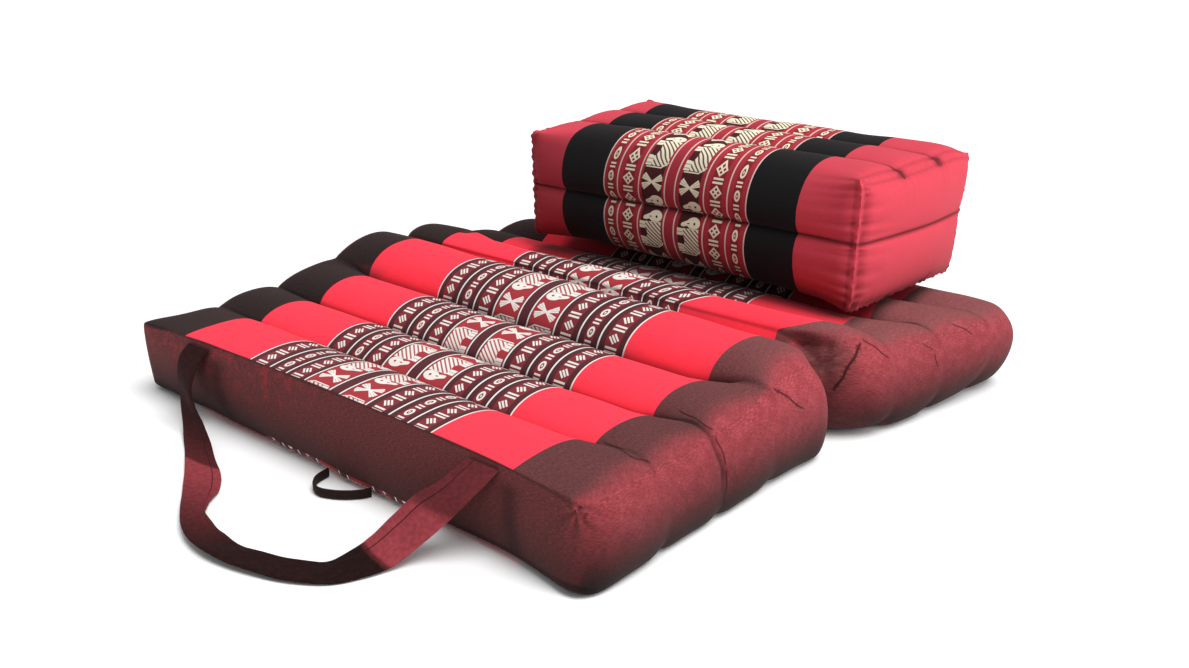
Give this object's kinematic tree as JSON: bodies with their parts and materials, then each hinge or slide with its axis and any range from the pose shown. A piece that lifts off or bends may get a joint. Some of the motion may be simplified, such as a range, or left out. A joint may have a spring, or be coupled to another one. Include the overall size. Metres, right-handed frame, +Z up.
{
  "type": "folding floor mat with block cushion",
  "caption": "kapok-filled folding floor mat in quilted panels, lying open, with a block cushion on its rear panel, a carry strap and a small closing loop",
  "frame": {"origin": "on the floor, under the middle of the whole set's bounding box", "axes": "+X runs along the stuffed tubes to the right as seen from the strap side, +Y runs from the strap side to the rear panel, +Z is up"},
  "size_m": [0.5313, 0.6994, 0.1973],
  "materials": {
    "mat_cloth": "woven cotton, matt with a faint sheen",
    "block_cloth": "woven cotton, matt with a faint sheen",
    "strap_cloth": "folded and topstitched woven cotton",
    "loop_cloth": "folded woven tape"
  },
  "bodies": {
    "root": {"mat_front_panel": "mat_cloth", "mat_rear_panel": "mat_cloth", "block_cushion": "block_cloth", "carry_handle": "strap_cloth", "closing_loop": "loop_cloth"}
  },
  "joints": []
}
